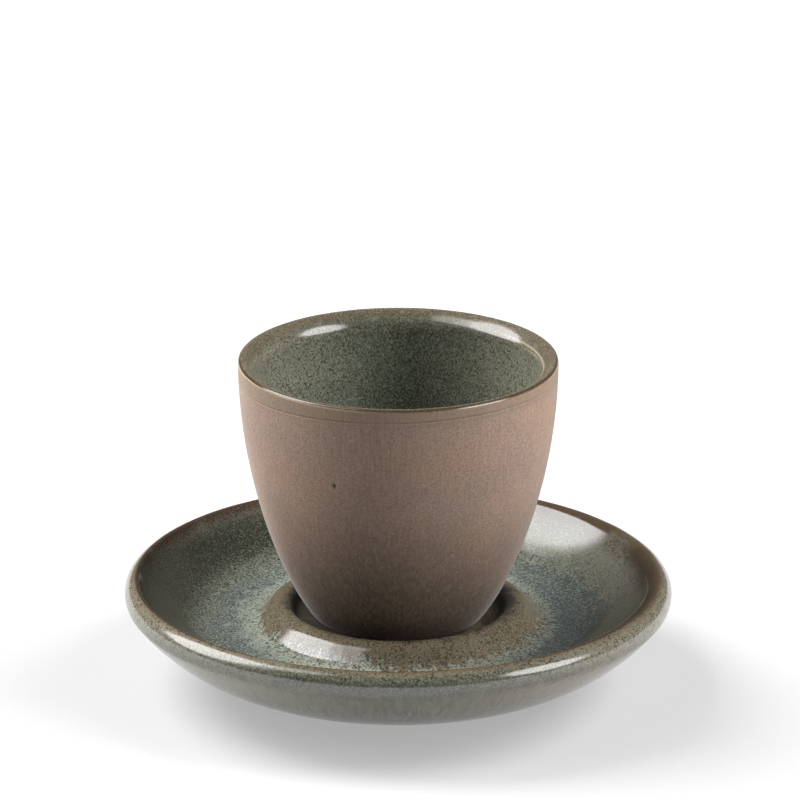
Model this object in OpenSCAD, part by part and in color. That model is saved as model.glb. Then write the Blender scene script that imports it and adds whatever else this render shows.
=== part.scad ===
// Espresso cup without a handle, standing in the sunk well of its thick saucer.
// Both are turned shapes. An outline is half a section: x runs out from the axis and y up from the table.
// The outlines run anticlockwise, so the clay lies to the left of them.

/* [Cup] */
// Height of the cup from its foot to its lip
cup_h = 57; // [51:0.5:64]
// Widest diameter of the cup, just under the lip
cup_d = 67.4; // [62:0.2:74]
// Diameter of the face that the cup stands on, with its rounded edge
cup_foot_d = 36.4; // [32:0.2:40]
// Lean of the outer wall where it leaves the foot, in degrees from upright
cup_foot_lean = 42; // [36:1:48]
// Pull of the outer wall's curve at the foot, as a share of the wall's length
cup_foot_pull_share = 0.148; // [0.1:0.002:0.2]
// Pull of the outer wall's curve under the lip, as a share of the wall's length
cup_top_pull_share = 0.456; // [0.4:0.002:0.5]
// Thickness of the wall under the lip
cup_wall = 3.8; // [3.2:0.1:4.6]
// Thickness of the floor above the face that the cup stands on
cup_floor_t = 5; // [4:0.1:7]
// Diameter of the flat part of the floor inside the cup
cup_floor_d = 24; // [18:0.5:28]
// Pull of the inner wall's curve under the lip, as a share of the wall's length
cup_in_top_pull_share = 0.236; // [0.2:0.002:0.28]
// Pull of the inner wall's curve at the floor, as a share of the wall's length
cup_in_floor_pull_share = 0.229; // [0.2:0.002:0.26]
// Width of the foot ring under the cup
cup_foot_ring_w = 4.6; // [3:0.1:6]
// Depth of the shallow recess inside the cup's foot ring
cup_recess_h = 1.4; // [0.8:0.1:2]
// Radius of the edges of the cup's foot ring
cup_foot_round = 0.6; // [0.4:0.1:1]

/* [Lip] */
// Radius of the lip's outer edge
lip_round = 1; // [0.8:0.05:1.3]
// Slope of the bevel inside the lip, in degrees
lip_bevel = 36; // [28:1:44]
// Radius between the bevel and the inner wall
lip_inner_round = 1.2; // [0.9:0.1:1.8]
// Radius of the incised line round the outside of the cup
groove_round = 0.3; // [0.2:0.05:0.5]
// Place of the incised line down from the lip, as a share of the wall's curve
groove_share = 0.035; // [0.02:0.005:0.06]

/* [Saucer] */
// Diameter of the saucer
saucer_d = 116.4; // [110:0.2:124]
// Height of the saucer from the table to its rim
saucer_h = 22; // [20:0.5:25]
// Radius of the rim's outer side
rim_side_round = 3.5; // [3:0.1:4.2]
// Radius of the rim's crest
rim_crest_round = 0.9; // [0.6:0.1:1.4]
// Place of the crest on the rim's outer side, in degrees above level
rim_crest_at = 66; // [60:1:74]
// Place where the rim's outer side passes into the belly, in degrees below level
rim_belly_at = 38.5; // [32:0.5:44]
// Slope of the bowl inside the rim, in degrees
bowl_slope = 42; // [36:1:48]
// Radius between the bowl's slope and the floor of the trough
bowl_round = 10; // [7:0.5:12]
// Depth of the trough's floor below the rim
bowl_depth = 10; // [8.5:0.25:11]
// Pull of the belly's curve at both ends, as a share of its length
belly_pull_share = 0.346; // [0.3:0.002:0.38]

/* [Ring and well] */
// Height of the raised ring above the floor of the trough
ring_h = 4.4; // [3.6:0.1:5.4]
// Radius of the raised ring's crown
ring_round = 2.5; // [2:0.1:3]
// Slope of the ring's outer side, in degrees
ring_slope = 49; // [40:1:58]
// Radius at the foot of the ring's outer side
ring_foot_round = 4; // [2.5:0.25:5]
// Depth of the well below the top of the ring
well_depth = 2.6; // [2.3:0.1:3.4]
// Clearance round the cup's foot in the well
well_clearance = 2.95; // [1.5:0.05:4]
// Slope of the well's wall, in degrees
well_slope = 65; // [56:1:74]
// Radius at the foot of the well's wall
well_round = 1; // [0.6:0.1:1.4]

/* [Saucer foot] */
// Outer diameter of the foot ring
foot_d = 62; // [56:0.5:68]
// Width of the foot ring
foot_ring_w = 4.6; // [3.4:0.1:6]
// Height of the foot ring's outer side
foot_h = 2; // [1.8:0.1:2.8]
// Slope of the belly where it meets the foot, in degrees
foot_belly_slope = 5.5; // [3:0.5:10]
// Radius of the foot ring's edges
foot_round = 0.6; // [0.4:0.1:0.8]
// Radius in the corners between the foot ring and the saucer
foot_corner_round = 1; // [0.8:0.1:1.1]
// Height of the recess inside the foot ring, at the ring
recess_edge_h = 2.4; // [2:0.1:3]
// Height of the recess inside the foot ring, at the axis
recess_h = 5.5; // [4:0.1:6.5]
// Slope of the recess where it meets the foot ring, in degrees
recess_slope = 13; // [8:1:18]

/* [Glaze] */
// Thickness of the glaze
glaze_t = 0.4; // [0.3:0.05:0.5]
// Height of the bare clay at the bottom of the saucer's foot ring
glaze_edge_h = 0.8; // [0.8:0.02:0.9]

/* [Hidden] */
$fn = 180;
clay_colour = "#84695a";
saucer_clay_colour = "#a08a78";
glaze_colour = "#6c7266";
recess_colour = "#5f6a6a";
// Numbers of steps in a short arc, a bend and a long curve
arc_steps = 8;
bend_steps = 12;
curve_steps = 36;

// Heights above the table
trough_z = saucer_h - bowl_depth;
ring_z = trough_z + ring_h;
seat_z = ring_z - well_depth;

// Points on an arc about c
function arc_points(c, r, from, to, steps) =
    [for (i = [0 : steps]) let (a = from + (to - from) * i / steps) c + r * [cos(a), sin(a)]];
// Place and direction on a cubic curve with the four points p
function curve_place(p, u) =
    pow(1 - u, 3) * p[0] + 3 * pow(1 - u, 2) * u * p[1] + 3 * (1 - u) * pow(u, 2) * p[2] + pow(u, 3) * p[3];
function curve_way(p, u) =
    pow(1 - u, 2) * (p[1] - p[0]) + 2 * (1 - u) * u * (p[2] - p[1]) + pow(u, 2) * (p[3] - p[2]);
// Points on a cubic curve, moved by d into the clay on its left
function curve_points(p, d) =
    [for (i = [0 : curve_steps])
        let (u = i / curve_steps, way = curve_way(p, u))
        curve_place(p, u) + d * [-way[1], way[0]] / norm(way)];
// A cubic curve from a to b, which leaves along leave and comes in along arrive
function curve_between(a, b, leave, arrive, leave_share, arrive_share) =
    let (span = norm(b - a)) [a, a + leave_share * span * leave, b - arrive_share * span * arrive, b];
function backwards(list) = [for (i = [len(list) - 1 : -1 : 0]) list[i]];
// The way along a slope that falls by a degrees
function falling(a) = [cos(a), -sin(a)];

// Cup: centres of its edges, and its two walls
cup_r = cup_d / 2;
cup_foot_c = [cup_foot_d / 2 - cup_foot_round, cup_foot_round];
lip_c = [cup_r - lip_round, cup_h - lip_round];
lip_in_r = cup_r - cup_wall;
// The bevel runs from the lip's edge to the inner edge, and touches both
bevel_run = lip_c[0] - lip_round * sin(lip_bevel) - lip_in_r - lip_inner_round * (1 - sin(lip_bevel));
lip_in_c = [
    lip_in_r + lip_inner_round,
    lip_c[1] + (lip_round - lip_inner_round) * cos(lip_bevel) - bevel_run * tan(lip_bevel)
];
cup_wall_curve = curve_between(
    cup_foot_c + cup_foot_round * falling(cup_foot_lean),
    [cup_r, lip_c[1]],
    [sin(cup_foot_lean), cos(cup_foot_lean)],
    [0, 1],
    cup_foot_pull_share,
    cup_top_pull_share
);
cup_in_curve = curve_between(
    [lip_in_r, lip_in_c[1]],
    [cup_floor_d / 2, cup_floor_t],
    [0, -1],
    [-1, 0],
    cup_in_top_pull_share,
    cup_in_floor_pull_share
);
cup_ring_in_r = cup_foot_d / 2 - cup_foot_ring_w;

// Outside of the cup, from the axis under the foot to the edge of the glaze on the lip
cup_outside = concat(
    [[0, cup_recess_h], [cup_ring_in_r - cup_recess_h, cup_recess_h]],
    arc_points([cup_ring_in_r + cup_foot_round, cup_foot_round], cup_foot_round, 225, 270, arc_steps),
    arc_points(cup_foot_c, cup_foot_round, -90, -cup_foot_lean, arc_steps),
    curve_points(cup_wall_curve, 0)
);
// Inside of the cup over the lip to the axis, at depth d under the glaze
function cup_inside(d) = concat(
    arc_points(lip_c, lip_round - d, 0, 90 + lip_bevel, bend_steps),
    arc_points(lip_in_c, lip_inner_round - d, 90 + lip_bevel, 180, arc_steps),
    curve_points(cup_in_curve, d),
    [[0, cup_floor_t - d]]
);
groove_c = curve_place(cup_wall_curve, 1 - groove_share);

// Saucer: centres of its bends, from the rim to the well
rim_crest_c = [
    saucer_d / 2 - rim_side_round + (rim_side_round - rim_crest_round) * cos(rim_crest_at),
    saucer_h - rim_crest_round
];
rim_side_c = [
    saucer_d / 2 - rim_side_round,
    rim_crest_c[1] - (rim_side_round - rim_crest_round) * sin(rim_crest_at)
];
well_c = [cup_foot_d / 2 + well_clearance, seat_z + well_round];
well_drop = well_depth - (ring_round + well_round) * (1 - cos(well_slope));
ring_c = [
    well_c[0] + (well_round + ring_round) * sin(well_slope) + well_drop / tan(well_slope),
    ring_z - ring_round
];
ring_drop = ring_h - (ring_round + ring_foot_round) * (1 - cos(ring_slope));
ring_foot_c = [
    ring_c[0] + (ring_round + ring_foot_round) * sin(ring_slope) + ring_drop / tan(ring_slope),
    trough_z + ring_foot_round
];
// The bowl's slope would meet the floor of the trough at this corner, and the bend there leaves some floor flat
bowl_drop = rim_crest_c[1] + rim_crest_round * cos(bowl_slope) - trough_z;
bowl_corner_r = rim_crest_c[0] - rim_crest_round * sin(bowl_slope) - bowl_drop / tan(bowl_slope);
bowl_bend_share = 0.9;
bowl_bend = min(bowl_round, bowl_bend_share * (bowl_corner_r - ring_foot_c[0]) / tan(bowl_slope / 2));
bowl_c = [bowl_corner_r - bowl_bend * tan(bowl_slope / 2), trough_z + bowl_bend];

// Saucer: its foot ring, belly and recess
foot_r = foot_d / 2;
foot_in_r = foot_r - foot_ring_w;
foot_corner_c = [foot_r + foot_corner_round, foot_h - foot_corner_round];
recess_corner_c = [foot_in_r - foot_corner_round, recess_edge_h - foot_corner_round];
belly_curve = curve_between(
    foot_corner_c + foot_corner_round * [-sin(foot_belly_slope), cos(foot_belly_slope)],
    rim_side_c + rim_side_round * falling(rim_belly_at),
    [cos(foot_belly_slope), sin(foot_belly_slope)],
    [sin(rim_belly_at), cos(rim_belly_at)],
    belly_pull_share,
    belly_pull_share
);
// Pulls of a third of the length keep the recess an even dome
recess_pull_share = 1 / 3;
recess_curve = curve_between(
    [0, recess_h],
    recess_corner_c + foot_corner_round * [sin(recess_slope), cos(recess_slope)],
    [1, 0],
    falling(recess_slope),
    recess_pull_share,
    recess_pull_share
);

// Underside of the saucer inside its foot ring, at depth d under the glaze
function recess_side(d) = concat(
    curve_points(recess_curve, d),
    arc_points(recess_corner_c, foot_corner_round + d, 90 - recess_slope, 0, arc_steps),
    [[foot_in_r + d, glaze_edge_h]]
);
// The foot ring's bare face with its rounded edges
foot_face = concat(
    arc_points([foot_in_r + foot_round, foot_round], foot_round, 180, 270, arc_steps),
    arc_points([foot_r - foot_round, foot_round], foot_round, 270, 360, arc_steps)
);
// From the foot ring's outer side over the rim to the middle of the well, at depth d under the glaze
function top_side(d) = concat(
    [[foot_r - d, glaze_edge_h]],
    arc_points(foot_corner_c, foot_corner_round + d, 180, 90 + foot_belly_slope, arc_steps),
    curve_points(belly_curve, d),
    arc_points(rim_side_c, rim_side_round - d, -rim_belly_at, rim_crest_at, bend_steps),
    arc_points(rim_crest_c, rim_crest_round - d, rim_crest_at, 90 + bowl_slope, arc_steps),
    arc_points(bowl_c, bowl_bend + d, bowl_slope - 90, -90, bend_steps),
    arc_points(ring_foot_c, ring_foot_round + d, -90, -90 - ring_slope, arc_steps),
    arc_points(ring_c, ring_round - d, 90 - ring_slope, 90 + well_slope, bend_steps),
    arc_points(well_c, well_round + d, well_slope - 90, -90, arc_steps),
    [[0, seat_z - d]]
);

// A turned solid from its half section
module turned(points) rotate_extrude() polygon(points);

// Bare clay of the cup, with the line incised under the lip
module cup_body() color(clay_colour) translate([0, 0, seat_z]) rotate_extrude() difference() {
    polygon(concat(cup_outside, cup_inside(glaze_t)));
    translate(groove_c) circle(groove_round, $fn = 32);
}

// Glaze inside the cup and over its lip
module cup_glaze() color(glaze_colour) translate([0, 0, seat_z])
    turned(concat(cup_inside(0), backwards(cup_inside(glaze_t))));

// Clay of the saucer, bare where its foot ring stands on the table
module saucer_body() color(saucer_clay_colour)
    turned(concat(recess_side(glaze_t), foot_face, top_side(glaze_t)));

// Glaze on the top, the rim and the belly of the saucer
module saucer_glaze() color(glaze_colour)
    turned(concat(top_side(0), backwards(top_side(glaze_t))));

// Glaze under the saucer, inside its foot ring
module recess_glaze() color(recess_colour)
    turned(concat(recess_side(0), backwards(recess_side(glaze_t))));

cup_body();
cup_glaze();
saucer_body();
saucer_glaze();
recess_glaze();
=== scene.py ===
import bisect
import math

import bmesh
import bpy
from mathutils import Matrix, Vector, noise


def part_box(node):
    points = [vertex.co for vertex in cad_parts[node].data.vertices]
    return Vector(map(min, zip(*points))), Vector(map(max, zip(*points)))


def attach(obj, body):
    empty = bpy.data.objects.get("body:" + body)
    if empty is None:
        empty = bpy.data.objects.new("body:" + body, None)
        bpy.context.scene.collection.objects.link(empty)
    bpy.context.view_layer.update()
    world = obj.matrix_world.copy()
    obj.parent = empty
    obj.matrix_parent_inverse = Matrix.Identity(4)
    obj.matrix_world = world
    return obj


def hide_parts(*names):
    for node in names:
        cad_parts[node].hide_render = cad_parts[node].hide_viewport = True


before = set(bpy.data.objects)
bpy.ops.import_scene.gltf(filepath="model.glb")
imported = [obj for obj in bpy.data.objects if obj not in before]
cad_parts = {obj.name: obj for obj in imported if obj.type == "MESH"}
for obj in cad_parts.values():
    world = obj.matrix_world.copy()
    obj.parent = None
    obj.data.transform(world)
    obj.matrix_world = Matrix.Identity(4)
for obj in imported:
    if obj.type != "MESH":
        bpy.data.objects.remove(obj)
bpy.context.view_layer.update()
mm = 0.001
axisLine = 1e-6 * mm  # nearer to the axis than this counts as on it
samePoint = 1e-4  # points of an outline nearer than this are one, in mm
mergeReach = 0.0005  # corners nearer than this are merged, in mm
turnSteps = 240
hiddenShare = 0.3  # how finely the sides that nothing shows are divided

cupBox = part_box("cup_body")
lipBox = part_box("cup_glaze")
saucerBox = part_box("saucer_glaze")
seatZ = cupBox[0].z / mm
lipZ = lipBox[1].z / mm
cupRadius = cupBox[1].x / mm
saucerRadius = saucerBox[1].x / mm
rimZ = saucerBox[1].z / mm
glazeThick = (lipBox[1].z - cupBox[1].z) / mm
print("frame loaded: lip at %.1f mm, saucer %.1f mm wide" % (lipZ, 2 * saucerRadius))


# Outlines: arcs and curves as lists of points
def heading(degrees):
    return Vector((math.cos(math.radians(degrees)), math.sin(math.radians(degrees))))


def arcPoints(centre, radius, start, end, steps=10):
    return [centre + radius * heading(start + (end - start) * i / steps) for i in range(steps + 1)]


def curveBetween(a, b, leave, arrive, leavePull, arrivePull):
    span = (b - a).length
    return a, a + heading(leave) * span * leavePull, b - heading(arrive) * span * arrivePull, b


def curveAt(curve, t):
    s = 1 - t
    return curve[0] * s ** 3 + curve[1] * 3 * s * s * t + curve[2] * 3 * s * t * t + curve[3] * t ** 3


def curvePoints(curve, depth, places):  # a positive depth lies left of the way along it
    found = []
    for t in places:
        s = 1 - t
        way = (curve[1] - curve[0]) * s * s + (curve[2] - curve[1]) * 2 * s * t
        way += (curve[3] - curve[2]) * t * t
        way.normalize()
        found.append(curveAt(curve, t) + Vector((-way.y, way.x)) * depth)
    return found


def evenly(start, end, steps):
    return [start + (end - start) * i / steps for i in range(steps + 1)]


def straight(a, b, steps):
    return [a.lerp(b, t) for t in evenly(0, 1, steps)]


# Turns an outline round the axis. "run" is the way along it from its place zeroAt, and "shown" marks the
# stretch up to lastShown. Where the piece has another outline on one side, blendOutlines goes over to it.
def turnOutline(outline, zeroAt, lastShown, other=None):
    mesh = bmesh.new()
    runLayer = mesh.verts.layers.float.new("run")
    shownLayer = mesh.verts.layers.float.new("shown")
    outLayer = mesh.verts.layers.float.new("shiftOut")
    upLayer = mesh.verts.layers.float.new("shiftUp")
    kept = [i for i, p in enumerate(outline) if i == 0 or (p - outline[i - 1]).length > samePoint]
    points = [outline[i] for i in kept]
    lengths = [0]
    for a, b in zip(points, points[1:]):
        lengths.append(lengths[-1] + (b - a).length)
    zeroPoint = min(range(len(points)), key=lambda i: (points[i] - zeroAt).length)
    endPoint = min(range(len(points)), key=lambda i: (points[i] - lastShown).length)
    line = []
    for i, p in enumerate(points):
        vert = mesh.verts.new((max(p.x, 0) * mm, 0, p.y * mm))
        vert[runLayer] = lengths[i] - lengths[zeroPoint]
        vert[shownLayer] = 1.0 if i <= endPoint else 0.0
        if other:
            shift = other[kept[i]] - p
            vert[outLayer], vert[upLayer] = shift
        line.append(vert)
    edges = []
    for a, b in zip(line, line[1:] + line[:1]):
        if a.co.x > axisLine or b.co.x > axisLine:
            edges.append(mesh.edges.new((a, b)))
    bmesh.ops.spin(
        mesh, geom=line + edges, cent=(0, 0, 0), axis=(0, 0, 1), angle=2 * math.pi,
        steps=turnSteps, use_merge=True, use_duplicate=False,
    )
    bmesh.ops.remove_doubles(mesh, verts=mesh.verts[:], dist=mergeReach * mm)
    bmesh.ops.recalc_face_normals(mesh, faces=mesh.faces[:])
    return mesh


def nearAngle(angle, centre, full, none):  # 1 within full degrees of the centre, 0 beyond none
    aside = abs((math.degrees(angle) - centre + 180) % 360 - 180)
    return 1 - smooth(full, none, aside)


def blendOutlines(mesh, place):  # place is the dictionary with that side's angles
    outLayer, upLayer = mesh.verts.layers.float["shiftOut"], mesh.verts.layers.float["shiftUp"]
    for vert in mesh.verts:
        radius = math.hypot(vert.co.x, vert.co.y)
        if radius > axisLine:
            amount = nearAngle(angleOf(vert.co), place["centre"], place["full"], place["none"]) * mm
            share = 1 + vert[outLayer] * amount / radius
            vert.co = Vector((vert.co.x * share, vert.co.y * share, vert.co.z + vert[upLayer] * amount))


def finishPiece(name, mesh, body, node, material):
    mesh.normal_update()
    data = bpy.data.meshes.new(name)
    mesh.to_mesh(data)
    mesh.free()
    data.polygons.foreach_set("use_smooth", [True] * len(data.polygons))
    data.materials.append(material)
    piece = bpy.data.objects.new(name, data)
    bpy.context.scene.collection.objects.link(piece)
    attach(piece, body)
    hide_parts(node)
    print("made", name, "with", len(data.polygons), "faces")


# Angle round the axis from the front, growing to the right
def angleOf(point):
    return math.atan2(point.x, -point.y)


# A smooth run of noise round the axis
def waveAt(angle, lobes, seed):
    return noise.noise(Vector((lobes * math.cos(angle), lobes * math.sin(angle), seed)))


def smooth(low, high, value):
    t = min(max((value - low) / (high - low), 0), 1)
    return t * t * (3 - 2 * t)


# Moves the shown skin in by up to the wave's depth, so that the glaze lies in soft waves
def waveSkin(mesh, wave, weight):
    shownLayer = mesh.verts.layers.float["shown"]
    mesh.normal_update()
    moves = []
    for vert in mesh.verts:
        amount = vert[shownLayer] * weight(vert)
        if amount > 0:
            place = vert.co / (wave["length"] * mm) + Vector((0, 0, wave["seed"]))
            swell = max(-1, min(1, noise.fractal(place, 1.0, 2.0, 2)))
            moves.append((vert, -vert.normal * wave["depth"] * mm * amount * (0.5 + 0.5 * swell)))
    for vert, move in moves:
        vert.co += move


# Nodes
def addNode(tree, kind, inputs=None, **settings):
    made = tree.nodes.new("ShaderNode" + kind)
    for key, value in settings.items():
        setattr(made, key, value)
    for key, value in (inputs or {}).items():
        if isinstance(value, bpy.types.NodeSocket):
            tree.links.new(value, made.inputs[key])
        else:
            made.inputs[key].default_value = value
    return made


def calc(tree, operation, a, b=0.0):
    return addNode(tree, "Math", {0: a, 1: b}, operation=operation).outputs[0]


def rise(tree, value, low, high):  # 0 below low, 1 above high, smooth between
    inputs = {"Value": value, "From Min": low, "From Max": high}
    return addNode(tree, "MapRange", inputs, interpolation_type="SMOOTHSTEP").outputs["Result"]


def riseInMm(tree, value, places):  # the same for a value in metres and places in mm
    return rise(tree, value, places[0] * mm, places[1] * mm)


def band(tree, value, low, high, soft):  # 1 from low to high, with soft edges
    up = rise(tree, value, low - soft, low + soft)
    down = rise(tree, value, high + soft, high - soft)
    return calc(tree, "MULTIPLY", up, down)


def swing(tree, value, reach):  # noise round 0.5 made into a way to either side
    return calc(tree, "MULTIPLY", calc(tree, "SUBTRACT", value, 0.5), reach)


def rgba(colour):  # a socket stays as it is
    return colour if isinstance(colour, bpy.types.NodeSocket) else (*colour, 1.0)


def mixColour(tree, amount, a, b):
    inputs = {0: amount, 6: rgba(a), 7: rgba(b)}
    return addNode(tree, "Mix", inputs, data_type="RGBA", blend_type="MIX").outputs[2]


def alongWay(tree, value, stops):  # stops are (value, colour)
    low, high = stops[0][0], stops[-1][0]
    spread = addNode(tree, "MapRange", {"Value": value, "From Min": low, "From Max": high})
    made = addNode(tree, "ValToRGB", {"Fac": spread.outputs["Result"]})
    elements = made.color_ramp.elements
    while len(elements) < len(stops):
        elements.new(0.5)
    for element, (place, colour) in zip(elements, stops):
        element.position = (place - low) / (high - low)
        element.color = rgba(colour)
    return made.outputs["Color"]


def amountAlong(tree, value, stops):
    return alongWay(tree, value, [(place, (amount,) * 3) for place, amount in stops])


def grain(tree, place, size, detail=2.0, roughness=0.5):  # size of its features in mm
    inputs = {"Vector": place, "Scale": 1 / (size * mm), "Detail": detail, "Roughness": roughness}
    return addNode(tree, "TexNoise", inputs).outputs["Fac"]


def dots(tree, place, size, reach):  # round dots, one in each cell of that size, out to reach cells
    found = addNode(tree, "TexVoronoi", {"Vector": place, "Scale": 1 / (size * mm)}, feature="F1")
    return rise(tree, found.outputs["Distance"], reach, reach * 0.6)


def stretched(tree, place, scale):
    return addNode(tree, "Mapping", {"Vector": place, "Scale": scale}).outputs["Vector"]


def attribute(tree, name):
    return addNode(tree, "Attribute", attribute_name=name, attribute_type="GEOMETRY").outputs["Fac"]


def objectPlace(tree):
    return addNode(tree, "TexCoord").outputs["Object"]


# Noise drawn out along the outline, with the way round the axis kept at one radius
def streakGrain(tree, place, run, radius, streak):
    flat = addNode(tree, "VectorMath", {0: place, 1: (1, 1, 0)}, operation="MULTIPLY").outputs[0]
    around = addNode(tree, "VectorMath", {0: flat}, operation="NORMALIZE").outputs[0]
    scale = radius / streak["width"]
    wide = addNode(tree, "VectorMath", {0: around, 3: scale}, operation="SCALE").outputs[0]
    cut = addNode(tree, "SeparateXYZ", {0: wide}).outputs
    length = calc(tree, "MULTIPLY", run, 1 / streak["length"])
    spot = addNode(tree, "CombineXYZ", {0: cut[0], 1: cut[1], 2: length}).outputs[0]
    return grain(tree, spot, 1 / mm, streak["detail"], streak["roughness"])


def newMaterial(name):
    material = bpy.data.materials.new(name)
    material.use_nodes = True
    material.node_tree.nodes.clear()
    return material, material.node_tree


def paint(tree, colour, tone, mask, amount=1.0):  # lays the tone over the colour where the mask is 1
    return mixColour(tree, calc(tree, "MULTIPLY", mask, amount), colour, tone)


def partOf(tree, *masks):  # the product of several masks
    made = masks[0]
    for mask in masks[1:]:
        made = calc(tree, "MULTIPLY", made, mask)
    return made


def finishMaterial(tree, shaderInputs, bumps):  # bumps are (height socket, height in mm, strength)
    normal = {}
    for height, depth, strength in bumps:
        inputs = {"Height": height, "Distance": depth * mm, "Strength": strength, **normal}
        normal = {"Normal": addNode(tree, "Bump", inputs).outputs["Normal"]}
    shader = addNode(tree, "BsdfPrincipled", {**shaderInputs, **normal})
    addNode(tree, "OutputMaterial", {"Surface": shader.outputs[0]})


# Bare clay: matt, with the upright grain of a wiped surface, pale grog and dark specks; on the cup, painted
# shade down the front and towards the foot.
# A step says at which values of the noise a tone comes in and is full.
clayLook = {
    "colour": (0.308, 0.217, 0.167),
    "warm": (0.335, 0.225, 0.162),
    "cool": (0.273, 0.203, 0.164),
    "cloudSize": 14,
    "cloudStep": (0.35, 0.65),
    "paleStreak": (0.44, 0.32, 0.25),
    "streakSize": 0.55,
    "streakSquash": 0.07,
    "streakStep": (0.30, 0.75),
    "darkGrain": (0.105, 0.072, 0.055),
    "grainSize": 0.45,
    "grainStep": (0.56, 0.40),
    "grog": (0.62, 0.50, 0.40),
    "grogCell": 1.6,
    "grogReach": 0.13,
    "grogPatch": 2.3,
    "patchStep": (0.52, 0.60),
    # dark specks, and the painted shade in the incised line and the pit
    "darkSpeckAndShade": (0.035, 0.025, 0.018),
    "darkSpeckCell": 2.9,
    "darkSpeckReach": 0.06,
    "roughness": 0.88,
    "specular": 0.3,
    "sheen": 0.2,
    "sheenRoughness": 0.3,
    "bumps": ((0.06, 0.5), (0.05, 0.6), (0.03, 0.3)),  # of streaks, grain and grog: mm and strength
}
# Tones of the cup's clay alone; pairs of places say where a tone comes in and where it is full, in mm
cupClayLook = {
    "frontShade": (0.10, 0.068, 0.050),  # painted shade down the front, where the lamps light the clay least
    "frontShadeFrom": -13,
    "frontShadeTo": 1,
    "frontShadeSoft": 8,
    "frontShadeBackward": (2, -13),
    "lowShadeHeight": (36, 17),
    # painted shade, darker towards the foot
    "foot": (0.034, 0.025, 0.015),
    "footTop": 33,  # height over the seat at which the painted shade starts
    "footDark": -1.5,  # and at which it is full
    "footSway": 6,
    "footSwaySize": 9,
    "fume": (0.20, 0.158, 0.105),  # the clay between the glaze and the incised line
    "fumeUnderLip": (5.0, 2.6),
    "fumeSway": 0.8,
    "fumeSwaySize": 6,
}


def tintCup(tree, place, colour):
    look = cupClayLook
    across, backward, height = addNode(tree, "SeparateXYZ", {0: place}).outputs
    # Painted shade: a darker band down the front that is stronger low down, then darker towards the foot
    frontShade = band(tree, across, look["frontShadeFrom"] * mm, look["frontShadeTo"] * mm, look["frontShadeSoft"] * mm)
    frontShade = partOf(tree, frontShade, riseInMm(tree, backward, look["frontShadeBackward"]))
    colour = paint(tree, colour, look["frontShade"], frontShade, amount=0.4)
    lowShade = partOf(tree, frontShade, riseInMm(tree, height, look["lowShadeHeight"]))
    colour = paint(tree, colour, look["frontShade"], lowShade, amount=0.35)
    sway = swing(tree, grain(tree, place, look["footSwaySize"], 2.0), look["footSway"] * mm)
    inputs = {
        "Value": calc(tree, "ADD", height, sway),
        "From Min": (seatZ + look["footTop"]) * mm, "From Max": (seatZ + look["footDark"]) * mm,
    }
    footShade = addNode(tree, "MapRange", inputs).outputs["Result"]
    # painted shade towards the foot
    return paint(tree, colour, look["foot"], footShade, amount=0.95)


def fumeCup(tree, place, colour):
    look = cupClayLook
    height = addNode(tree, "SeparateXYZ", {0: place}).outputs[2]
    sway = swing(tree, grain(tree, place, look["fumeSwaySize"]), look["fumeSway"] * mm)
    underLip = [lipZ - drop for drop in look["fumeUnderLip"]]
    fume = riseInMm(tree, calc(tree, "ADD", height, sway), underLip)
    colour = paint(tree, colour, look["fume"], fume, amount=0.42)
    # painted shade in the incised line and the pit
    return paint(tree, colour, clayLook["darkSpeckAndShade"], attribute(tree, "hollowShade"))


def makeClay(name, isCup):
    material, tree = newMaterial(name)
    look = clayLook
    place = objectPlace(tree)
    cloud = rise(tree, grain(tree, place, look["cloudSize"], 3.0), *look["cloudStep"])
    colour = mixColour(tree, cloud, look["cool"], look["warm"])
    colour = mixColour(tree, 0.4, colour, look["colour"])
    if isCup:
        colour = tintCup(tree, place, colour)
    streak = grain(tree, stretched(tree, place, (1, 1, look["streakSquash"])), look["streakSize"], 3.0, 0.6)
    pale = mixColour(tree, 0.5, colour, look["paleStreak"])
    colour = paint(tree, colour, pale, rise(tree, streak, *look["streakStep"]), amount=0.5)
    fine = grain(tree, place, look["grainSize"], 3.0, 0.7)
    dark = mixColour(tree, 0.6, colour, look["darkGrain"])
    colour = paint(tree, colour, dark, rise(tree, fine, *look["grainStep"]), amount=0.6)
    paleGrog = dots(tree, place, look["grogCell"], look["grogReach"])
    patches = rise(tree, grain(tree, place, look["grogPatch"], 1.0), *look["patchStep"])
    colour = paint(tree, colour, look["grog"], partOf(tree, paleGrog, patches), amount=0.4)
    darkDots = dots(tree, place, look["darkSpeckCell"], look["darkSpeckReach"])
    colour = paint(tree, colour, look["darkSpeckAndShade"], darkDots, amount=0.6)
    if isCup:
        colour = fumeCup(tree, place, colour)
    shader = {
        "Base Color": colour, "Roughness": look["roughness"], "Specular IOR Level": look["specular"],
        "Sheen Weight": look["sheen"], "Sheen Roughness": look["sheenRoughness"],
    }
    bumps = [(mask, *bump) for mask, bump in zip((streak, fine, paleGrog), look["bumps"])]
    finishMaterial(tree, shader, bumps)
    return material


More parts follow.
